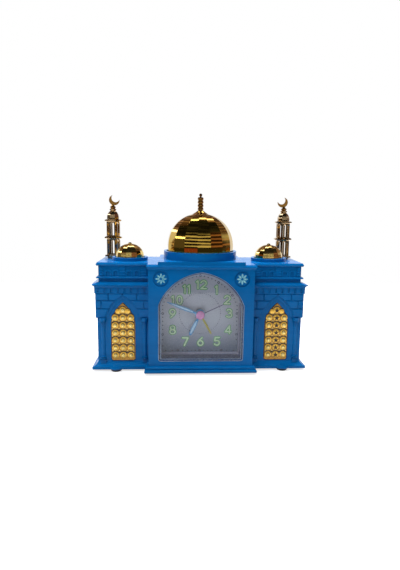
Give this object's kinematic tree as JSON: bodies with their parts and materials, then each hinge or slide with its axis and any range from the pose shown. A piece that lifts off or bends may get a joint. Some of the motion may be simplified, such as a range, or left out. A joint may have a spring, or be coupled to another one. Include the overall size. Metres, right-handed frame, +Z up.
{
  "type": "azan alarm clock",
  "caption": "Mosque-shaped azan alarm clock with a press-down gold dome, fixed side domes and minarets, gold lattices, arched dial with hands, rear set knobs, switch and battery bay.",
  "frame": {"origin": "on the table under the main dome's axis, at the centre of the clock's footprint", "axes": "+X to the right of a viewer facing the dial, +Y to the back, +Z up; the dial faces -Y"},
  "size_m": [0.2016, 0.0782, 0.1662],
  "materials": {
    "blue_plastic": "glossy mid blue",
    "gold_plating": "gold mirror plating on plastic",
    "clear_plastic": "clear polished",
    "dial_card": "silver-lilac print",
    "hand_blue": "light blue",
    "hand_olive": "olive yellow",
    "hand_grey": "dark grey",
    "cap_pink": "pink",
    "black_rubber": "matte black",
    "black_plastic": "satin black",
    "steel": "zinc plated",
    "brass": "turned",
    "grey_steel": "grey",
    "cone_paper": "black pressed paper",
    "magnet": "dark grey",
    "board_green": "green laminate"
  },
  "bodies": {
    "case": {"case_shell": "blue_plastic", "rear_cover": "blue_plastic", "cover_screws": "steel", "crystal": "clear_plastic", "dial": "dial_card", "lattice_left": "gold_plating", "lattice_right": "gold_plating", "medallion_left": "blue_plastic", "medallion_right": "blue_plastic", "small_dome_left": "gold_plating", "small_dome_right": "gold_plating", "minaret_left": "gold_plating", "minaret_right": "gold_plating", "rubber_feet": "black_rubber", "movement_front": "black_plastic", "movement_back": "black_plastic", "battery_tray": "black_plastic", "battery_contacts": "steel", "speaker_basket": "grey_steel", "speaker_cone": "cone_paper", "speaker_magnet": "magnet", "sound_board": "board_green", "board_components": "black_plastic", "switch_board": "board_green", "switch_hangers": "blue_plastic", "tact_switch": "black_plastic", "alarm_switch_case": "black_plastic", "dome_spring": "steel"},
    "dome": {"main_dome": "gold_plating", "dome_finial": "gold_plating", "dome_retainer": "steel"},
    "minute_works": {"minute_hand": "hand_blue", "centre_arbor": "brass", "time_set_knob": "black_plastic"},
    "hour_works": {"hour_hand": "hand_blue"},
    "alarm_works": {"alarm_hand": "hand_olive"},
    "alarm_setter": {"alarm_set_knob": "black_plastic"},
    "second_works": {"second_hand": "hand_grey", "hand_cap": "cap_pink"},
    "alarm_switch": {"alarm_switch_slider": "black_plastic"},
    "battery_lid": {"battery_door": "blue_plastic"}
  },
  "joints": [
    {"name": "dome_press", "type": "slide", "parent": "case", "child": "dome", "axis": [0, 0, -1], "range_m": [0, 0.0025], "stiffness_N_per_m": 400, "springref_m": -0.003, "deforming": ["dome_spring"]},
    {"name": "minute_turn", "type": "hinge", "parent": "case", "child": "minute_works", "pos_m": [0, 0, 0.0527], "axis": [0, 1, 0], "continuous": true},
    {"name": "hour_turn", "type": "hinge", "parent": "case", "child": "hour_works", "pos_m": [0, 0, 0.0527], "axis": [0, 1, 0], "continuous": true},
    {"name": "alarm_knob_turn", "type": "hinge", "parent": "case", "child": "alarm_setter", "pos_m": [-0.018, 0, 0.035], "axis": [0, 1, 0], "continuous": true},
    {"name": "alarm_turn", "type": "hinge", "parent": "case", "child": "alarm_works", "pos_m": [0, 0, 0.0527], "axis": [0, 1, 0], "continuous": true},
    {"name": "second_turn", "type": "hinge", "parent": "case", "child": "second_works", "pos_m": [0, 0, 0.0527], "axis": [0, 1, 0], "continuous": true},
    {"name": "switch_slide", "type": "slide", "parent": "case", "child": "alarm_switch", "axis": [1, 0, 0], "range_m": [0, 0.0046]},
    {"name": "door_pull", "type": "slide", "parent": "case", "child": "battery_lid", "axis": [0, 1, 0], "range_m": [0, 0.03]}
  ],
  "couplings": [
    {"joint": "hour_turn", "follows": "minute_turn", "ratio": 0.083333},
    {"joint": "alarm_turn", "follows": "alarm_knob_turn", "ratio": -0.33333}
  ]
}
